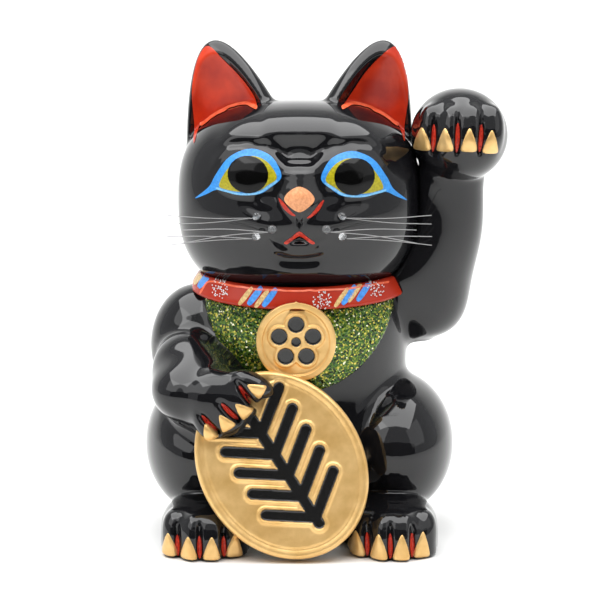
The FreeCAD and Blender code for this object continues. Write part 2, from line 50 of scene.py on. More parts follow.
class Block:
    """A grid of sample points round a box, in millimetres."""

    def __init__(self, low, high, step, margin=6.0):
        self.step = step
        self.first = np.floor((np.array(low) / MM - margin) / step).astype(int)
        last = np.ceil((np.array(high) / MM + margin) / step).astype(int)
        self.shape = tuple(last - self.first + 1)
        x, y, z = (np.arange(a, b + 1, dtype=np.float32) * step
                   for a, b in zip(self.first, last))
        self.x, self.y, self.z = x[:, None, None], y[None, :, None], z[None, None, :]

    def node(self, name, reach=7.0):
        """Signed distance to a CAD node, clipped at the reach."""
        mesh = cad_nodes[name].data
        points = np.empty(len(mesh.vertices) * 3, np.float32)
        mesh.vertices.foreach_get("co", points)
        mesh.calc_loop_triangles()
        corners = np.empty(len(mesh.loop_triangles) * 3, np.int32)
        mesh.loop_triangles.foreach_get("vertices", corners)
        grid = vdb.FloatGrid.createLevelSetFromPolygons(
            points.reshape(-1, 3) / MM, triangles=corners.reshape(-1, 3).astype(np.uint32),
            transform=vdb.createLinearTransform(voxelSize=self.step),
            halfWidth=reach / self.step)
        field = np.empty(self.shape, np.float32)
        grid.copyToArray(field, ijk=tuple(int(i) for i in self.first))
        return field


def melt(a, b, radius):
    """The union of two fields, with a fillet of about this radius where they meet."""
    mix = np.clip(0.5 + 0.5 * (b - a) / radius, 0, 1)
    return b * (1 - mix) + a * mix - radius * mix * (1 - mix)


def soften(field, rounds):
    """Blurs a field a little with each round, which rounds its edges."""
    for _ in range(rounds):
        for axis in range(3):
            field = (np.roll(field, 1, axis) + 2 * field + np.roll(field, -1, axis)) / 4
    return field


def step_up(value, low, high):
    """Rises smoothly from zero at low to one at high."""
    t = np.clip((value - low) / (high - low), 0, 1)
    return t * t * (3 - 2 * t)


def bump(u, v=0.0):
    """A round-topped swell, one high at zero and faded out by a distance of about two."""
    return np.exp(-(u * u + v * v))


def show(name, data):
    """A new object with this data, linked to the scene."""
    thing = bpy.data.objects.new(name, data)
    bpy.context.scene.collection.objects.link(thing)
    return thing


def mesh_of(name, block, field, rounds=3):
    """Meshes the zero level of a field and relaxes it a little."""
    grid = vdb.FloatGrid(float(field.max()))
    grid.copyFromArray(np.ascontiguousarray(field), ijk=tuple(int(i) for i in block.first))
    grid.transform = vdb.createLinearTransform(voxelSize=block.step)
    points, quads = grid.convertToQuads(0.0)
    quads = quads[:, ::-1].astype(np.int64)
    edges = np.concatenate([quads[:, [i, (i + 1) % 4]] for i in range(4)])
    edges = np.concatenate([edges, edges[:, ::-1]])
    degree = np.bincount(edges[:, 0], minlength=len(points))[:, None]
    for _ in range(rounds):
        mean = np.stack([np.bincount(edges[:, 0], points[edges[:, 1], i], len(points))
                         for i in range(3)], 1) / np.maximum(degree, 1)
        points = 0.4 * points + 0.6 * mean
    mesh = bpy.data.meshes.new(name)
    mesh.from_pydata((points * MM).tolist(), [], quads.tolist())
    mesh.polygons.foreach_set("use_smooth", [True] * len(mesh.polygons))
    return show(name, mesh)


# ---------------------------------------------------------------- materials

def shader(name, color, roughness, **inputs):
    material = bpy.data.materials.new(name)
    material.use_nodes = True
    surface = material.node_tree.nodes["Principled BSDF"]
    surface.inputs["Base Color"].default_value = (*color, 1)
    surface.inputs["Roughness"].default_value = roughness
    for socket, value in inputs.items():
        surface.inputs[socket.replace("_", " ")].default_value = value
    return material


def add_node(material, kind, **values):
    node = material.node_tree.nodes.new(kind)
    for key, value in values.items():
        socket = key.replace("_", " ")
        if socket in node.inputs:
            node.inputs[socket].default_value = value
        else:
            setattr(node, key, value)
    return node


def link(material, source, target):
    material.node_tree.links.new(source, target)


def surface_of(material):
    return material.node_tree.nodes["Principled BSDF"]


def position(material):
    return add_node(material, "ShaderNodeTexCoord").outputs["Object"]


def ripple(material, scale, strength, distance, detail=2.0):
    """An uneven skin: brush marks, orange peel or grain, as a bump."""
    texture = add_node(material, "ShaderNodeTexNoise", Scale=scale, Detail=detail)
    link(material, position(material), texture.inputs["Vector"])
    bumped = add_node(material, "ShaderNodeBump", Strength=strength, Distance=distance)
    link(material, texture.outputs["Fac"], bumped.inputs["Height"])
    link(material, bumped.outputs["Normal"], surface_of(material).inputs["Normal"])


def tint(material, scale, dark, light, detail=3.0, low=0.35, high=0.65):
    """Cloudy colour between two tones."""
    texture = add_node(material, "ShaderNodeTexNoise", Scale=scale, Detail=detail)
    link(material, position(material), texture.inputs["Vector"])
    ramp = add_node(material, "ShaderNodeValToRGB")
    for stop, place, tone in zip(ramp.color_ramp.elements, (low, high), (dark, light)):
        stop.position = place
        stop.color = (*tone, 1)
    link(material, texture.outputs["Fac"], ramp.inputs["Fac"])
    link(material, ramp.outputs["Color"], surface_of(material).inputs["Base Color"])


def glaze(name, color):
    material = shader(name, color, 0.05, IOR=1.5)
    ripple(material, 45, 0.05, 0.0006)
    return material


def paint_stuff(name, dark, light, roughness=0.32, scale=900):
    material = shader(name, light, roughness, Specular_IOR_Level=0.35)
    tint(material, scale, dark, light)
    ripple(material, 1400, 0.25, 0.00012)
    return material


def gold_stuff(name):
    material = shader(name, (0.78, 0.50, 0.18), 0.33, Metallic=0.5)
    tint(material, 120, (0.66, 0.39, 0.12), (0.90, 0.60, 0.25), detail=5, low=0.25, high=0.75)
    ripple(material, 260, 0.22, 0.0006, detail=4)
    return material


def glitter_stuff(name):
    """Flakes of cut foil: each cell has its own colour and its own tilt."""
    material = shader(name, (0.1, 0.3, 0.05), 0.22, Metallic=0.55, Coat_Weight=0.3)
    cells = add_node(material, "ShaderNodeTexVoronoi", Scale=1200)
    link(material, position(material), cells.inputs["Vector"])
    split = add_node(material, "ShaderNodeSeparateColor")
    link(material, cells.outputs["Color"], split.inputs["Color"])
    ramp = add_node(material, "ShaderNodeValToRGB")
    ramp.color_ramp.interpolation = "CONSTANT"
    tones = [(0.0, (0.010, 0.030, 0.004)), (0.26, (0.03, 0.10, 0.008)),
             (0.5, (0.08, 0.16, 0.012)), (0.72, (0.24, 0.29, 0.02)), (0.89, (0.62, 0.52, 0.08)),
             (0.97, (0.92, 0.90, 0.62))]
    ramp.color_ramp.elements[0].color = (*tones[0][1], 1)
    ramp.color_ramp.elements[1].position = tones[1][0]
    ramp.color_ramp.elements[1].color = (*tones[1][1], 1)
    for place, tone in tones[2:]:
        ramp.color_ramp.elements.new(place).color = (*tone, 1)
    link(material, split.outputs["Red"], ramp.inputs["Fac"])
    link(material, ramp.outputs["Color"], surface_of(material).inputs["Base Color"])
    bumped = add_node(material, "ShaderNodeBump", Strength=1.0, Distance=0.0012)
    link(material, split.outputs["Green"], bumped.inputs["Height"])
    link(material, bumped.outputs["Normal"], surface_of(material).inputs["Normal"])
    return material


def nylon_stuff(name):
    material = shader(name, (0.42, 0.42, 0.42), 0.22, Transmission_Weight=0.35, IOR=1.53)
    ripple(material, 2500, 0.15, 0.00005)
    return material


def glue_stuff(name):
    material = shader(name, (0.55, 0.56, 0.57), 0.1, Transmission_Weight=0.85, IOR=1.4)
    ripple(material, 900, 0.5, 0.0002)
    return material


def clay_stuff(name):
    """Unglazed biscuit: buff, speckled and finely gritty."""
    material = shader(name, (0.58, 0.48, 0.36), 0.9)
    tint(material, 420, (0.40, 0.31, 0.22), (0.66, 0.56, 0.43), detail=8, low=0.3, high=0.6)
    ripple(material, 2200, 0.5, 0.0002, detail=6)
    return material


def rubber_stuff(name):
    material = shader(name, (0.62, 0.60, 0.55), 0.62)
    tint(material, 150, (0.54, 0.52, 0.47), (0.66, 0.64, 0.59))
    ripple(material, 1500, 0.25, 0.0001)
    return material


# ---------------------------------------------------------------- pieces

def settle(piece, slot, material, *replaced, body="figure"):
    """Puts a finished piece on its body, with its material and the nodes it stands for. Its slot is
    not used.
    """
    if material:
        piece.data.materials.clear()
        piece.data.materials.append(material)
    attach(piece, body)
    if replaced:
        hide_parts(*replaced)
    return piece


def capsule(block, start, end, radius):
    """Signed distance to a rod with round ends."""
    a, b = np.array(start, float), np.array(end, float)
    reach = b - a
    px, py, pz = block.x - a[0], block.y - a[1], block.z - a[2]
    t = np.clip((px * reach[0] + py * reach[1] + pz * reach[2]) / (reach @ reach), 0, 1)
    return np.sqrt((px - t * reach[0]) ** 2 + (py - t * reach[1]) ** 2
                   + (pz - t * reach[2]) ** 2) - radius


def calm(field, block, centre, half, rounds):
    """Blurs the field inside an oval, so that slip-cast lumps run together there."""
    spans = []
    for middle, size, axis in zip(centre, half, (block.x, block.y, block.z)):
        line = axis.ravel()
        spans.append(slice(int(np.searchsorted(line, middle - size)),
                           int(np.searchsorted(line, middle + size)) + 1))
    cut = tuple(spans)
    away = np.sqrt(((block.x - centre[0]) / half[0]) ** 2
                   + ((block.y - centre[1]) / half[1]) ** 2
                   + ((block.z - centre[2]) / half[2]) ** 2)[cut]
    mask = 1 - step_up(away, 0.72, 0.98)
    part = field[cut]
    field[cut] = part * (1 - mask) + soften(part, rounds) * mask


def along_line(x, z, top, bottom):
    """How far along a line in the front view a point lies, and how far off it."""
    a, b = np.array(top, float), np.array(bottom, float)
    reach = b - a
    t = np.clip(((x - a[0]) * reach[0] + (z - a[1]) * reach[1]) / (reach @ reach), 0, 1)
    return t, np.hypot(x - a[0] - t * reach[0], z - a[1] - t * reach[1])


# A rod with round ends that fills out the resting forearm: its two ends and its radius.
SLEEVE = ((-55, -32, 87), (-37, -55, 71), 17)

# Below this height the feet, which lie outward of and before these places, go straight down.
FOOT_PLUMB, FOOT_INNER, FOOT_BACK = 9.0, 22, -30

# For each paw: the oval in which its castings are blurred together (centre, half sizes, rounds),
# its claws' places over the lift, their length and half width, the gaps between its toes from
# top to bottom, and how much of each gap's length is painted red.
PAWS = {
    "left_foot": {
        "calm": ((46, -58, 10), (34, 34, 24), 22), "lift": 5.7, "length": 11.6, "half": 4.0,
        "claws": [(27.7, 0), (38.3, 0), (49.2, 0), (59.3, 0)],
        "gaps": [((32.7, 20.0), (32.9, 0.5)), ((43.6, 21.5), (43.9, 0.5)),
                 ((53.9, 21.0), (54.7, 0.5))], "red": 0.6},
    "right_foot": {
        "calm": ((-46, -58, 10), (34, 34, 24), 22), "lift": 5.3, "length": 10.4, "half": 4.0,
        "claws": [(-63.2, 0), (-53.4, 0), (-42.2, 0), (-31.4, 0)],
        "gaps": [((-59.2, 20.0), (-58.9, 0.5)), ((-48.3, 21.5), (-48.0, 0.5)),
                 ((-37.0, 20.0), (-36.3, 0.5))], "red": 0.54},
    "left_paw": {
        "calm": ((80, -20, 203), (36, 36, 30), 14), "lift": 199.0, "length": 10.6, "half": 3.9,
        "claws": [(60.3, 0), (71.0, 0), (82.6, 0), (93.6, -1.2)],
        "gaps": [((66.0, 215.0), (65.4, 193.5)), ((77.4, 216.5), (76.7, 193.5)),
                 ((89.4, 215.0), (88.0, 193.5))], "red": 0.64},
    "right_paw": {
        "calm": ((-44, -52, 78), (40, 44, 38), 20), "lift": 0, "length": 8.0, "half": 3.6,
        "claws": [(-20.4, 83.2), (-26.9, 73.0), (-35.4, 67.0), (-43.2, 62.0)],
        "gaps": [((-31.6, 88.5), (-21.6, 74.4)), ((-40.2, 79.6), (-29.3, 67.9)),
                 ((-49.6, 73.6), (-39.2, 62.0))], "red": 0.74},
}

GAP_DEPTH, GAP_HALF = 2.3, 1.25
SEAM_FILLET, SLEEVE_FILLET = 4.5, 7.0
CORE_INSET, CORE_FOOT, CORE_SPREAD = np.array([14, 12, 14]), 12, 40


def press_gaps(field, block):
    """Presses the grooves between the toes: pointed at the top, open at the sole."""
    x, z = block.x[:, 0, 0][:, None], block.z[0, 0, :][None, :]
    front = step_up(-block.y, 18, 26)
    for paw in PAWS.values():
        for top, bottom in paw["gaps"]:
            t, off = along_line(x, z, top, bottom)
            press = GAP_DEPTH * bump(off / GAP_HALF) * step_up(t, 0.0, 0.45)
            field += press[:, None, :].astype(np.float32) * front


def torso_core(block):
    """A solid column up the middle of the torso, set in from the torso's box on all sides."""
    low, high = (np.array(c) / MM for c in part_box("torso_shell"))
    middle, half = (low + high) / 2, (high - low) / 2 - CORE_INSET
    column = np.hypot(block.x / half[0], (block.y - middle[1]) / half[1]) - 1
    ends = np.maximum(CORE_FOOT - block.z, block.z - high[2] + CORE_INSET[2])
    return np.maximum(column * CORE_SPREAD, ends)


def body_skin():
    """Torso, limbs and tail as one glazed skin, with the luted seams filled."""
    castings = ["torso_shell", "left_leg", "right_leg", "tail", "left_arm", "right_arm"]
    corners = [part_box(name) for name in castings]
    low = np.min([c[0] for c in corners], 0)
    high = np.max([c[1] for c in corners], 0)
    block = Block(low, high, BODY_STEP)
    field = None
    for name in castings:
        part = block.node(name)
        field = part if field is None else melt(field, part, SEAM_FILLET)
    field = melt(field, capsule(block, *SLEEVE), SLEEVE_FILLET)
    level = int(np.searchsorted(block.z.ravel(), FOOT_PLUMB))
    outward, before = np.abs(block.x[:, 0, 0]) > FOOT_INNER, block.y[0, :, 0] < FOOT_BACK
    feet = outward[:, None] & before[None, :]
    for k in range(level):
        field[:, :, k] = np.where(feet, np.minimum(field[:, :, k], field[:, :, level]),
                                  field[:, :, k])
    for paw in PAWS.values():
        calm(field, block, *paw["calm"])
    field = soften(np.minimum(field, torso_core(block)), 2)
    press_gaps(field, block)
    field = np.maximum(field, -block.z)
    return mesh_of("body_skin", block, field)


HEAD_HALF = np.array([61.0, 51.0, 50.0])
HEAD_CENTRE = np.array([0.0, -6.0, 168.0])
SQUARENESS = 2.65
EYE = (25.5, 184.0)
EYE_HALF = (17.0, 12.3)
# Heights on the face.
BROW, NOSE_TIP, NOSTRIL, LIP, CHIN = 199.8, 173.3, 169.6, 151.5, 138
EAR_FILLET = 2.4


def brow_line(side):
    """Height of the brow ridge's sharp lower edge: flat at the middle, then out and down."""
    inner = bump((np.maximum(side, 15) - 15) / 4.5)
    return BROW + 4.7 * inner - 0.055 * np.maximum(side - 28, 0) ** 2


def brow_relief(side, z):
    """The frown: a ridge over both eyes, sockets under it and a hollow between the brows."""
    over = z - brow_line(side)
    ridge = np.where(over > 0, bump(over / 9), bump(over / 3.6))
    relief = 2.0 * ridge * (1 - step_up(side, 34, 48))
    half = 8 + 0.48 * (z - 189)
    span = step_up(z, 183, 192.5) * (1 - step_up(z, 193, 205.5))
    return relief - 5.0 * (1 - step_up(side, half - 5.0, half + 2.0)) * span


def eye_relief(side, z):
    """The eyeball, and the lid's fold that hugs the eye from above."""
    eye = np.hypot((side - EYE[0]) / EYE_HALF[0], (z - EYE[1]) / EYE_HALF[1])
    above = step_up(z - EYE[1] + 0.2 * (side - EYE[0]), -3, 8)
    relief = 2.6 * (1 - step_up(eye, 0.3, 1.15))
    fold = above * (1 - step_up(side, 30, 46))
    return relief - 1.7 * bump((eye - 1.24) / 0.17) * fold


def nose_relief(side, z):
    """The bridge with its three small wrinkles, the nose, and the folds beside it."""
    bridge = bump(side / 6.8)
    relief = 4.2 * bridge * step_up(z, 162, 176) * (1 - step_up(z, 185, 198))
    wrinkles = np.cos((z - 188.1) * 2 * math.pi / 2.9) * step_up(z, 182, 184)
    relief += 0.45 * bump((side / 6.6) ** 2) * wrinkles * (1 - step_up(z, 191, 193.5))
    relief += 3.4 * bump(side / 7.6, (z - NOSE_TIP) / 6.2)
    relief += 1.3 * bump((side - 6.4 - 0.62 * (z - NOSTRIL)) / 1.8, (z - NOSTRIL) / 4.0)
    return relief + 1.4 * bump((side - 17 - 0.5 * (z - 171)) / 5, (z - 171) / 3.5)


def mouth_relief(side, z):
    """Whisker pads, the cleft lip, the mouth, the lower lip and the chin."""
    relief = 4.6 * bump((side - 11.5) / 11.5, (z - 160) / 8.0)
    relief -= 1.2 * bump(side / 1.1, (z - 162.5) / 4.5)
    relief += 1.6 * bump((side - 27) / 15, (z - 163) / 8)
    relief -= 2.2 * (1 - step_up(side + 1.25 * (z - LIP), 3.6, 6.8)) * step_up(z, 150.4, 152.2)
    smile = z - 0.014 * side * side
    within = 1 - step_up(side, 7.5, 14.5)
    relief += 1.2 * within * step_up(smile, 145.4, 151) * (1 - step_up(smile, 151, 153.5))
    relief -= 2.0 * within * (1 - step_up(smile, 143.4, 145.4)) * step_up(smile, 136, 142.6)
    return relief + 1.4 * bump(side / 11, (z - CHIN) / 4.5)


def head_relief(x, z):
    """How far the face stands out of the plain head, in millimetres, seen from the front."""
    side = np.abs(x)
    return (brow_relief(side, z) + eye_relief(side, z) + nose_relief(side, z)
            + mouth_relief(side, z))


def ball_radius(x, y, z):
    """One on the plain head's surface, less inside it and more outside."""
    across = np.hypot(x / HEAD_HALF[0], (y - HEAD_CENTRE[1]) / HEAD_HALF[1])
    up = np.abs((z - HEAD_CENTRE[2]) / HEAD_HALF[2])
    return (across ** SQUARENESS + up ** SQUARENESS) ** (1 / SQUARENESS)


def head_skin():
    """Head and ears as one glazed skin, its face pushed out of a squarish oval."""
    low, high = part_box("head_shell")
    top = np.maximum(np.array(high), np.maximum(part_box("left_ear")[1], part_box("right_ear")[1]))
    bottom = np.minimum(np.array(low), np.minimum(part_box("left_ear")[0],
                                                  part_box("right_ear")[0]))
    block = Block(bottom, top, HEAD_STEP, margin=4.0)
    field = (ball_radius(block.x, block.y, block.z) - 1).astype(np.float32)
    steep = np.sqrt(sum(g * g for g in np.gradient(field, block.step)))
    field = field / np.maximum(steep, 0.004)
    x, z = block.x[:, 0, 0][:, None], block.z[0, 0, :][None, :]
    front = step_up(-block.y, 8, 26)
    field -= head_relief(x, z)[:, None, :].astype(np.float32) * front
    for ear in ("left_ear", "right_ear"):
        field = melt(field, block.node(ear), EAR_FILLET)
    return mesh_of("head_skin", block, soften(field, 1))


def tree_of(piece):
    """A ray-casting tree over a piece's faces."""
    points = [v.co.copy() for v in piece.data.vertices]
    return BVHTree.FromPolygons(points, [list(p.vertices) for p in piece.data.polygons])


def seen(tree, x, z):
    """What a ray from the front meets at this place across and up: the point and its normal."""
    return tree.ray_cast(Vector((x * MM, -0.5, z * MM)), Vector((0, 1, 0)))[:2]


def smooth_loop(points, steps=8):
    """A closed curve through the points (Catmull-Rom), in millimetres."""
    loop = []
    count = len(points)
    for i in range(count):
        a, b, c, d = (np.array(points[(i + k) % count], float) for k in (-1, 0, 1, 2))
        for step in range(steps):
            t = step / steps
            loop.append(0.5 * (2 * b + (c - a) * t + (2 * a - 5 * b + 4 * c - d) * t * t
                               + (3 * b - a - 3 * c + d) * t ** 3))
    return loop


def oval(x, z, half_x, half_z, turn=0.0, pinch=0.0, count=24):
    """An oval outline; a pinch of one draws its ends out to points, as on an almond."""
    loop = []
    for i in range(count):
        angle = 2 * math.pi * (i + 0.5) / count
        u = half_x * math.sin(angle) * abs(math.sin(angle)) ** pinch
        v = half_z * math.cos(angle)
        loop.append(np.array((x + u * math.cos(turn) - v * math.sin(turn),
                              z + u * math.sin(turn) + v * math.cos(turn))))
    return loop


def paint(name, loop, tree, lift=0.15, cell=1.0, crown=0.0):
    """A coat of paint within an outline seen from the front, laid on whatever is under it."""
    loop = [Vector(p) for p in loop]
    low = np.min(loop, 0)
    high = np.max(loop, 0)
    inner = [Vector((u, v)) for u in np.arange(low[0], high[0], cell)
             for v in np.arange(low[1], high[1], cell)]
    edges = [(i, (i + 1) % len(loop)) for i in range(len(loop))]
    flat, _, faces, *_ = delaunay_2d_cdt(loop + inner, edges, [], 1, 1e-4)
    rim = np.array([tuple(p) for p in loop])
    points, missed = [], set()
    for number, (u, v) in enumerate(flat):
        hit, normal = seen(tree, u, v)
        if hit is None:
            missed.add(number)
            points.append(Vector((u * MM, 0, v * MM)))
            continue
        if normal.y > 0:
            normal = -normal
        gap = np.hypot(rim[:, 0] - u, rim[:, 1] - v).min()
        points.append(hit + normal * (lift + crown * min(gap / 1.5, 1) ** 0.5) * MM)
    mesh = bpy.data.meshes.new(name)
    mesh.from_pydata(points, [], [f[::-1] for f in faces if not missed.intersection(f)])
    editor = bmesh.new()
    editor.from_mesh(mesh)
    bmesh.ops.delete(editor, geom=[v for v in editor.verts if not v.link_faces], context="VERTS")
    editor.to_mesh(mesh)
    editor.free()
    mesh.polygons.foreach_set("use_smooth", [True] * len(mesh.polygons))
    return show(name, mesh)


def joined(name, pieces):
    """One piece made of several, which it uses up."""
    points, faces = [], []
    for piece in pieces:
        faces += [[len(points) + i for i in face.vertices] for face in piece.data.polygons]
        points += [v.co.copy() for v in piece.data.vertices]
        bpy.data.objects.remove(piece)
    mesh = bpy.data.meshes.new(name)
    mesh.from_pydata(points, [], faces)
    return show(name, mesh)


def mirrored(loop):
    return [np.array((-p[0], p[1])) for p in reversed(loop)]


# Outlines of the face's paint. Those beside the middle are given for the cat's left.
BAND = [(9.3, 183.2), (11.0, 189.0), (15.2, 193.8), (22.8, 196.4), (29.6, 195.0),
        (35.8, 191.0), (41.2, 183.4), (44.6, 177.4), (51.6, 171.2), (46.0, 173.6),
        (40.8, 176.2), (35.5, 175.6), (29.0, 174.6), (20.0, 175.2), (14.2, 178.6)]
IRIS = [(11.4, 183.0), (14.2, 188.6), (19.0, 192.2), (25.0, 193.0), (31.5, 190.4),
        (36.6, 184.6), (39.4, 178.4), (36.0, 176.8), (29.5, 176.0), (21.0, 176.4),
        (15.6, 179.6)]
NOSE_STROKE = [(10.6, 173.4), (8.6, 172.2), (4.6, 167.4), (2.4, 165.2), (4.6, 165.6), (8.4, 169.0)]
NOSE = [(0, 179.2), (4.6, 177.0), (7.2, 173.0), (4.4, 169.4), (0, 167.0), (-4.4, 169.4),
        (-7.2, 173.0), (-4.6, 177.0)]
MOUTH = [(0, 157.4), (4.0, 154.6), (7.4, 152.0), (5.6, 151.4), (0, 155.0), (-5.6, 151.4),
         (-7.4, 152.0), (-4.0, 154.6)]
LID = [(11.6, 181.4), (15.6, 178.6), (20.8, 175.6), (29.0, 174.9), (35.8, 176.0), (40.4, 177.0)]
PAINT_NUDGE = {RIGHT: (0.6, 0.0), LEFT: (1.2, -1.1)}


def placed(loop, side):
    """An outline given for the cat's left, put on either side of the face."""
    return [p + np.array(PAINT_NUDGE[side]) for p in (loop if side == LEFT else mirrored(loop))]


def face_paint(tree):
    """Eyes, nose and mouth, coat over coat."""
    for side, hand in ((RIGHT, "right"), (LEFT, "left")):
        layers = (("eye_band", smooth_loop(BAND), STUFF["blue"], 0.12),
                  ("eye_iris", smooth_loop(IRIS), STUFF["yellow"], 0.2),
                  ("eye_lid", ribbon(LID, 0.5), STUFF["pale_blue"], 0.24),
                  ("eye_pupil", oval(25.3, 184.3, 9.8, 8.8), STUFF["pupil"], 0.3))
        for name, loop, material, lift in layers:
            settle(paint(f"{hand}_{name}", placed(loop, side), tree, lift), "black_glaze",
                   material)
        settle(paint(f"{hand}_nose_stroke", placed(smooth_loop(NOSE_STROKE), side), tree),
               "red_glaze", STUFF["red_paint"])
    settle(paint("nose_paint", smooth_loop(NOSE), tree, 0.2), "red_glaze", STUFF["peach"])
    settle(paint("mouth_paint", smooth_loop(MOUTH, 5), tree, 0.2), "red_glaze",
           STUFF["red_paint"])


# Each ear's hollow: the edge toward the crown from tip to foot, then the outer edge, foot to tip.
EAR_SIDES = {
    "right": ([(-45.2, 244.4), (-37.8, 238.0), (-28.8, 229.0), (-22.6, 220.6)],
              [(-52.0, 197.0), (-52.8, 205.0), (-53.7, 218.3), (-52.7, 230.0), (-49.9, 239.6)]),
    "left": ([(48.0, 244.0), (42.0, 241.0), (33.8, 233.0), (27.5, 224.0), (22.8, 217.0)],
             [(51.8, 198.0), (53.0, 206.0), (54.3, 218.3), (53.8, 229.5), (51.8, 238.6)])}


def ribbon(points, half):
    """The outline of a ribbon along a line of points."""
    line = np.array(points, float)
    ahead = np.gradient(line, axis=0)
    across = np.stack([-ahead[:, 1], ahead[:, 0]], 1)
    across *= half / np.linalg.norm(across, axis=1)[:, None]
    return smooth_loop([*(line + across), *(line - across)[::-1]])


def ear_foot(tree, side):
    """The line where an ear's hollow meets the head, found from the front."""
    line = []
    for x in np.arange(21.0, 51.0, 2.4):
        for z in np.arange(214.5 + 0.3 * (x - 20), 190, -0.3):
            hit, normal = seen(tree, side * x, z)
            if hit is not None and abs(normal.z) > 0.5:
                line.append((side * x, z))
                break
    return line


def ear_paint(tree):
    """Red lining in each ear's hollow, with a pale ribbon painted where it meets the head: a painted
    highlight.
    """
    for hand, side in (("right", RIGHT), ("left", LEFT)):
        inner, outer = EAR_SIDES[hand]
        foot = ear_foot(tree, side)
        settle(paint(f"{hand}_ear_lining", smooth_loop([*inner, *foot, *outer], 4), tree, 0.25,
                     0.8), "red_glaze", STUFF["ear_red"])
        # The pale ribbon along the ear's up-facing foot is a painted highlight.
        settle(paint(f"{hand}_ear_foot_highlight", ribbon(foot, 0.75), tree, 0.35, 0.7, 0.4),
               "red_glaze", STUFF["pale_line_and_highlight"])


def claw(x, z, half_x, length, turn):
    """A pointed arch: the outline of a claw, its tip away from the sole."""
    arch = [(0, 0.62), (0.5, 0.3), (0.86, -0.1), (1, -0.38), (0.6, -0.46), (-0.6, -0.46),
            (-1, -0.38), (-0.86, -0.1), (-0.5, 0.3)]
    points = [(x + half_x * u * math.cos(turn) - length * v * math.sin(turn),
               z + half_x * u * math.sin(turn) + length * v * math.cos(turn)) for u, v in arch]
    return smooth_loop(points, 5)


# The pointed ends of the resting paw's claws are turned to this place.
KNUCKLE = (-60, 105)


def toe_paint(tree):
    """Gilded claws, and the red lines that run down between the toes."""
    for name, paw in PAWS.items():
        for i, (x, rise) in enumerate(paw["claws"]):
            turn = 0.04 * (1.5 - i)
            if name == "right_paw":
                turn = math.atan2(KNUCKLE[1] - rise, KNUCKLE[0] - x) - math.pi / 2
            outline = claw(x, paw["lift"] + rise, paw["half"], paw["length"], turn)
            settle(paint(f"{name}_claw_{i}", outline, tree, 0.12, 0.7, 0.6), "gold_lustre",
                   STUFF["gold"])
        for i, (top, bottom) in enumerate(paw["gaps"]):
            top, bottom = np.array(top), np.array(bottom)
            start = bottom + (top - bottom) * paw["red"]
            reach = start - bottom
            turn = math.atan2(reach[1], reach[0]) - math.pi / 2
            middle = (start + bottom) / 2
            outline = oval(*middle, 1.15, np.hypot(*reach) / 2, turn)
            settle(paint(f"{name}_gap_{i}", outline, tree, 0.12, 0.7), "red_glaze",
                   STUFF["red_paint"])


# The coin leans back and rolls over; on its face, a leaf's strokes stand between raised borders.
COIN_ROLL, COIN_LEAN = 33, 12
COIN_HALF_LENGTH, COIN_HALF_WIDTH, COIN_FACE, COIN_BACK = 47.5, 39.5, 3.7, 4.4
STROKE_HALF, RIDGE = 2.7, 3.6
RIB_COUNT, RIB_PITCH, RIB_SLOPE = 5, 12.0, 36


def coin_axes(x, y, z):
    """A point's place across, along and out of the leaning coin."""
    low, high = (np.array(c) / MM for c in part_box("koban"))
    x, y, z = (v - c for v, c in zip((x, y, z), (low + high) / 2))
    lean, roll = math.radians(COIN_LEAN), math.radians(COIN_ROLL)
    up = math.sin(lean) * y + math.cos(lean) * z
    out = math.sin(lean) * z - math.cos(lean) * y
    return (math.cos(roll) * x + math.sin(roll) * up,
            math.cos(roll) * up - math.sin(roll) * x, out)


def leaf_gap(u, v):
    """Distance in the coin's plane from the leaf: a spine and five pairs of ribs."""
    gap = along_line(u, v, (0, -0.7 * COIN_HALF_LENGTH), (0, 0.66 * COIN_HALF_LENGTH))[1]
    slope, reach = math.radians(RIB_SLOPE), COIN_HALF_WIDTH * 0.6
    for i in range(RIB_COUNT):
        start = (i - RIB_COUNT / 2) * RIB_PITCH
        tip = start + reach * math.sin(slope)
        for side in (-1, 1):
            rib = along_line(u, v, (0, start), (side * reach * math.cos(slope), tip))[1]
            gap = np.minimum(gap, rib)
    return gap


def koban():
    """The oval coin: a rounded edge, and black strokes between raised gold borders."""
    low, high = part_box("koban")
    block = Block(low, high, COIN_STEP, margin=2.0)
    u, v, w = coin_axes(block.x, block.y, block.z)
    ring = np.maximum(np.hypot(u / COIN_HALF_WIDTH, v / COIN_HALF_LENGTH), 0.05)
    edge = (1 - ring) * ring / np.hypot(u / COIN_HALF_WIDTH ** 2, v / COIN_HALF_LENGTH ** 2)
    gap = leaf_gap(u, v)
    level = COIN_FACE + 0.45 * bump((edge - 2.0) / 1.3) - 0.4 * bump((edge - 4.6) / 0.6)
    level = level + 0.8 * bump((gap - RIDGE) / 0.75) - 0.8 * (1 - step_up(gap, 2.4, 3.2))
    field = -melt(level - w, edge, 2.2)
    field = np.maximum(np.maximum(field, -COIN_BACK - w), -block.z).astype(np.float32)
    piece = mesh_of("koban_gilt", block, field, rounds=2)
    settle(piece, "gold_lustre", STUFF["gold"], "koban")
    piece.data.materials.append(STUFF["ink"])
    middles = np.empty(len(piece.data.polygons) * 3, np.float32)
    piece.data.polygons.foreach_get("center", middles)
    u, v, w = coin_axes(*(middles.reshape(-1, 3).T / MM))
    inked = (w > 2) & (leaf_gap(u, v) < STROKE_HALF)
    piece.data.polygons.foreach_set("material_index", inked.astype(np.int32))


MEDAL_X, MEDAL_Z = -1.6, 103.0
PETAL, PETAL_REACH, PETAL_BORDER, PETALS = 5.6, 8.6, 1.4, 5
INK_DEPTH = (0.75, 2.2)


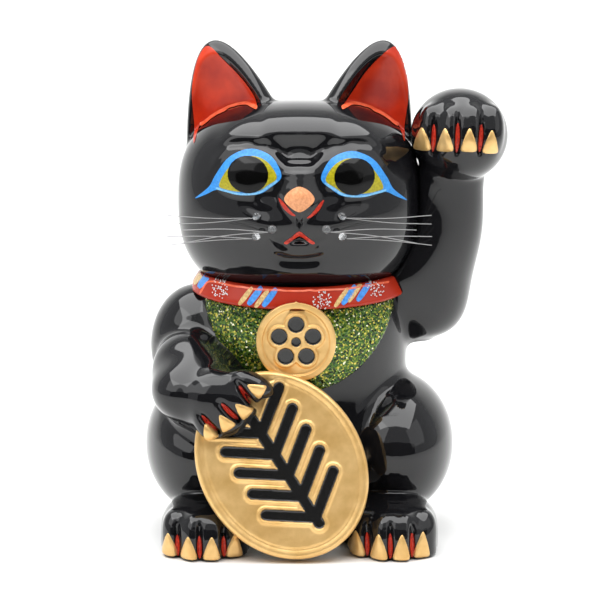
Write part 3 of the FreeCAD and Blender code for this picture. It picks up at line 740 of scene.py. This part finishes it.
def medal():
    """The round medal, its edges worn round, with black in the petals of its blossom."""
    low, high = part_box("medallion")
    block = Block(low, high, MEDAL_STEP, margin=2.0)
    piece = mesh_of("medal_gilt", block, soften(block.node("medallion", 1.6), 1), rounds=2)
    settle(piece, "gold_lustre", STUFF["gold"], "medallion")
    piece.data.materials.append(STUFF["ink"])
    front = low[1] / MM
    for face in piece.data.polygons:
        x, y, z = np.array(face.center) / MM
        if not INK_DEPTH[0] < y - front < INK_DEPTH[1]:
            continue
        u, v = x - MEDAL_X, z - MEDAL_Z
        inside = math.hypot(u, v) < PETAL * 0.7 - PETAL_BORDER
        for i in range(PETALS):
            angle = math.radians(90 + 360 / PETALS * i)
            if math.hypot(u - PETAL_REACH * math.cos(angle),
                          v - PETAL_REACH * math.sin(angle)) < PETAL - PETAL_BORDER:
                inside = True
        if inside:
            face.material_index = 1


def neckwear():
    """The red band, which is handed back for its paint, and the bib's rough glitter."""
    low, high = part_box("collar")
    block = Block(low, high, COLLAR_STEP, margin=3.0)
    band = mesh_of("collar_band", block, soften(block.node("collar", 3.0), 2))
    settle(band, "red_glaze", STUFF["collar_red"], "collar")
    low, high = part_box("bib")
    block = Block(low, high, BIB_STEP, margin=3.0)
    patch = mesh_of("bib_glitter", block, soften(block.node("bib", 3.0), 2))
    rough = [v.co + v.normal * 0.35 * MM * noise.noise(v.co * 900) for v in patch.data.vertices]
    patch.data.vertices.foreach_set("co", np.array(rough).ravel())
    settle(patch, "green_glitter", STUFF["glitter"], "bib")
    return band


DASHES = [(-26.2, 124.4, "tan"), (-21.6, 124.7, "sky"), (-18.3, 123.6, "tan"),
          (-14.4, 124.3, "sky"), (20.4, 124.1, "tan"), (24.1, 125.0, "sky"),
          (27.0, 126.0, "tan"), (31.4, 126.2, "sky"), (-49.6, 130.4, "tan"),
          (-47.0, 129.6, "sky")]
STIPPLES = [(-38.9, 127.0), (11.1, 123.2), (37.6, 127.4)]
STIPPLE_RADIUS, STIPPLE_DOTS, DOT_RADIUS = 4.6, 60, 0.32


def collar_strokes(tree):
    """A pale line along the top, slanted dashes in tan and blue, and stippled rounds."""
    top = []
    for x in np.arange(-49.0, 47.0, 3.0):
        for z in np.arange(143, 120, -0.3):
            hit, normal = seen(tree, x, z)
            if hit is not None and hit.y < -8 * MM and abs(normal.y) > 0.45:
                top.append((x, z - 0.7))
                break
    settle(paint("collar_line", ribbon(top, 0.42), tree, 0.15, 0.7), "red_glaze",
           STUFF["pale_line_and_highlight"])
    for i, (x, z, key) in enumerate(DASHES):
        half = 1.15 if key == "tan" else 1.5
        settle(paint(f"collar_dash_{i}", oval(x, z, half, 5.4, turn=-0.66, pinch=-0.5), tree,
                     0.15, 0.8), "red_glaze", STUFF[key])
    rng = np.random.default_rng(7)
    for i, (x, z) in enumerate(STIPPLES):
        dots = []
        for _ in range(STIPPLE_DOTS):
            r = STIPPLE_RADIUS * math.sqrt(rng.random())
            a = 2 * math.pi * rng.random()
            dot = oval(x + r * math.cos(a), z + r * math.sin(a), DOT_RADIUS, DOT_RADIUS, count=7)
            dots.append(paint("dot", dot, tree, 0.15, 0.9))
        settle(joined(f"collar_stipple_{i}", dots), "red_glaze", STUFF["silver"])


# Each row of whiskers: how far it bows up at its middle, and how far it drops toward its tips.
WHISKER_ROWS = (("upper", -0.72, 0.72), ("middle", 0.96, 2.16), ("lower", 0.6, 1.08))
STRAND_RADIUS = 0.2


def whiskers():
    """Clear nylon strands, a touch curved, each pair spreading from its bead of glue."""
    for hand, side in (("right", RIGHT), ("left", LEFT)):
        for row, bow, drop in WHISKER_ROWS:
            node = f"{hand}_{row}_whiskers"
            low, high = (np.array(c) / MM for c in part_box(node))
            inner, outer = (high[0], low[0]) if side == RIGHT else (low[0], high[0])
            y, middle = (low[1] + high[1]) / 2, (low[2] + high[2]) / 2
            spread = (high[2] - low[2]) / 2
            curve = bpy.data.curves.new(f"{hand}_{row}_strands", "CURVE")
            curve.dimensions = "3D"
            curve.bevel_depth = STRAND_RADIUS * MM
            curve.bevel_resolution = 3
            for sign in (-1, 1):
                line = curve.splines.new("BEZIER")
                line.bezier_points.add(2)
                for k, point in enumerate(line.bezier_points):
                    along = k / 2
                    x = inner + (outer - inner) * along
                    z = middle + (1 - along) * drop + along * sign * (spread - 0.4)
                    z += bow * math.sin(math.pi * along)
                    point.co = (x * MM, (y - 0.4 * sign * along) * MM, z * MM)
                    point.handle_left_type = point.handle_right_type = "AUTO"
            settle(show(f"{hand}_{row}_strands", curve), "whisker_nylon", STUFF["nylon"], node)


# The studio, in metres. The table lies just under the ground, clear of the soles.
GROUND = -0.0006
TABLE_HALF_WIDTH = 2.4
TABLE_PROFILE = [(-2.6, GROUND), (-1.5, GROUND), (0.3, GROUND), (0.4, GROUND), (0.6, GROUND),
                 (0.9, 0.06), (1.15, 0.28), (1.25, 0.7), (1.25, 2.2)]
FLAG_HALF_WIDTH, FLAG_HEIGHT, FLAG_Y = 2.2, 0.8, -1.5
WORLD_COLOR, WORLD_STRENGTH = (0.93, 0.94, 0.96, 1), 0.6
LAMPS = (("key", (-1.5, -1.0, 1.5), (0, 0, 0.12), (1.7, 1.5), 12),
         ("fill", (1.7, -0.8, 1.1), (0, 0, 0.12), (1.4, 1.4), 4),
         ("top", (0, -0.1, 1.5), (0, 0, 0.1), (2.4, 1.6), 46))


def table():
    """A white table that runs up into a white wall."""
    mesh = bpy.data.meshes.new("sweep")
    n = len(TABLE_PROFILE)
    points = [(x, y, z) for x in (-TABLE_HALF_WIDTH, TABLE_HALF_WIDTH) for y, z in TABLE_PROFILE]
    mesh.from_pydata(points, [], [(i, i + 1, n + i + 1, n + i) for i in range(n - 1)])
    sweep = show("sweep", mesh)
    smooth = sweep.modifiers.new("round", "SUBSURF")
    smooth.levels = smooth.render_levels = 3
    mesh.polygons.foreach_set("use_smooth", [True] * len(mesh.polygons))
    mesh.materials.append(shader("white_table", (0.86, 0.86, 0.85), 0.55))


def dark_flag():
    """A black screen before the table, unseen itself, that darkens what the glaze reflects."""
    mesh = bpy.data.meshes.new("flag")
    corners = ((-1, 0), (1, 0), (1, 1), (-1, 1))
    mesh.from_pydata([(FLAG_HALF_WIDTH * u, FLAG_Y, FLAG_HEIGHT * v) for u, v in corners], [],
                     [(0, 1, 2, 3)])
    mesh.materials.append(shader("dark_flag", (0.02, 0.02, 0.02), 0.9))
    flag = show("flag", mesh)
    flag.visible_camera = False


def lights():
    """Soft daylight all round, a wide lamp overhead, a key lamp and a fill."""
    world = bpy.data.worlds.new("studio")
    bpy.context.scene.world = world
    world.use_nodes = True
    sky = world.node_tree.nodes["Background"]
    sky.inputs["Color"].default_value = WORLD_COLOR
    sky.inputs["Strength"].default_value = WORLD_STRENGTH
    for name, place, aim, size, power in LAMPS:
        lamp = bpy.data.lights.new(name, "AREA")
        lamp.shape = "RECTANGLE"
        lamp.size, lamp.size_y = size
        lamp.energy = power
        holder = show(name, lamp)
        holder.location = place
        holder.rotation_euler = (Vector(aim) - Vector(place)).to_track_quat("-Z", "Y").to_euler()


CAMERA_LIFT, CAMERA_FAR, CAMERA_TARGET = math.radians(8), 1.15, Vector((0.0003, 0, 0.116))


def camera():
    """A long lens, a little above the figure's middle."""
    lens = bpy.data.cameras.new("camera")
    lens.sensor_width, lens.lens, lens.clip_end = 36, 135.8, 20
    eye = show("camera", lens)
    away = Vector((0, -math.cos(CAMERA_LIFT), math.sin(CAMERA_LIFT)))
    eye.location = CAMERA_TARGET + away * CAMERA_FAR
    eye.rotation_euler = (math.pi / 2 - CAMERA_LIFT, 0, 0)
    bpy.context.scene.camera = eye
    bpy.context.scene.view_settings.view_transform = "Standard"


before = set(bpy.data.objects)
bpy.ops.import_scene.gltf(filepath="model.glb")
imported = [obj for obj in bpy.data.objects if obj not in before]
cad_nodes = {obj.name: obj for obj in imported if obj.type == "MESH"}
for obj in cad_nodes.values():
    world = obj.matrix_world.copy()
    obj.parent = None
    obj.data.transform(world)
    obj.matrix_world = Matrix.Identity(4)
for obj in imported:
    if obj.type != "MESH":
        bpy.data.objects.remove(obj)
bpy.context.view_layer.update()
camera()
table()
dark_flag()
lights()

STUFF = {
    "black": glaze("black_glaze", (0.006, 0.006, 0.007)),
    "gold": gold_stuff("gold_paint"),
    "ink": shader("koban_ink", (0.008, 0.008, 0.008), 0.22, Coat_Weight=0.4),
    "red_paint": paint_stuff("red_paint", (0.36, 0.014, 0.007), (0.62, 0.045, 0.018)),
    "ear_red": paint_stuff("ear_red", (0.42, 0.020, 0.005), (0.66, 0.045, 0.009), 0.3, 60),
    # This pale tone is the painted highlight at each ear's foot, and also the collar's pale top
    # line.
    "pale_line_and_highlight": paint_stuff("pale_line_and_highlight", (0.75, 0.11, 0.04), (0.9, 0.17, 0.08), 0.2, 200),
    "collar_red": shader("collar_red", (0.40, 0.026, 0.009), 0.2, Specular_IOR_Level=0.3),
    "glitter": glitter_stuff("green_glitter"),
    "blue": paint_stuff("eye_blue", (0.025, 0.22, 0.62), (0.05, 0.32, 0.8)),
    "pale_blue": paint_stuff("eye_pale_blue", (0.12, 0.42, 0.75), (0.25, 0.58, 0.9)),
    "sky": paint_stuff("collar_blue", (0.03, 0.2, 0.6), (0.08, 0.34, 0.85)),
    "tan": paint_stuff("collar_tan", (0.5, 0.3, 0.1), (0.8, 0.56, 0.25)),
    "silver": paint_stuff("silver_dots", (0.5, 0.5, 0.5), (0.8, 0.8, 0.8)),
    "yellow": paint_stuff("eye_yellow", (0.30, 0.27, 0.004), (0.47, 0.40, 0.009)),
    "pupil": shader("eye_pupil", (0.002, 0.002, 0.002), 0.1, Specular_IOR_Level=0.22),
    "peach": paint_stuff("nose_peach", (0.70, 0.28, 0.12), (0.86, 0.40, 0.19)),
    "nylon": nylon_stuff("whisker_nylon"),
    "glue": glue_stuff("clear_glue"),
    "clay": clay_stuff("bare_clay"),
    "rubber": rubber_stuff("stopper_rubber"),
}
for node, key in (("base_plate", "clay"), ("stopper", "rubber"), ("whisker_glue", "glue")):
    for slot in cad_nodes[node].material_slots:
        slot.material = STUFF[key]

body = body_skin()
settle(body, "black_glaze", STUFF["black"], "torso_shell", "left_leg", "right_leg", "tail",
       "left_arm", "right_arm")
head = head_skin()
settle(head, "black_glaze", STUFF["black"], "head_shell", "left_ear", "right_ear")
head_tree, body_tree = tree_of(head), tree_of(body)
face_paint(head_tree)
ear_paint(head_tree)
toe_paint(body_tree)
koban()
medal()
collar_strokes(tree_of(neckwear()))
whiskers()
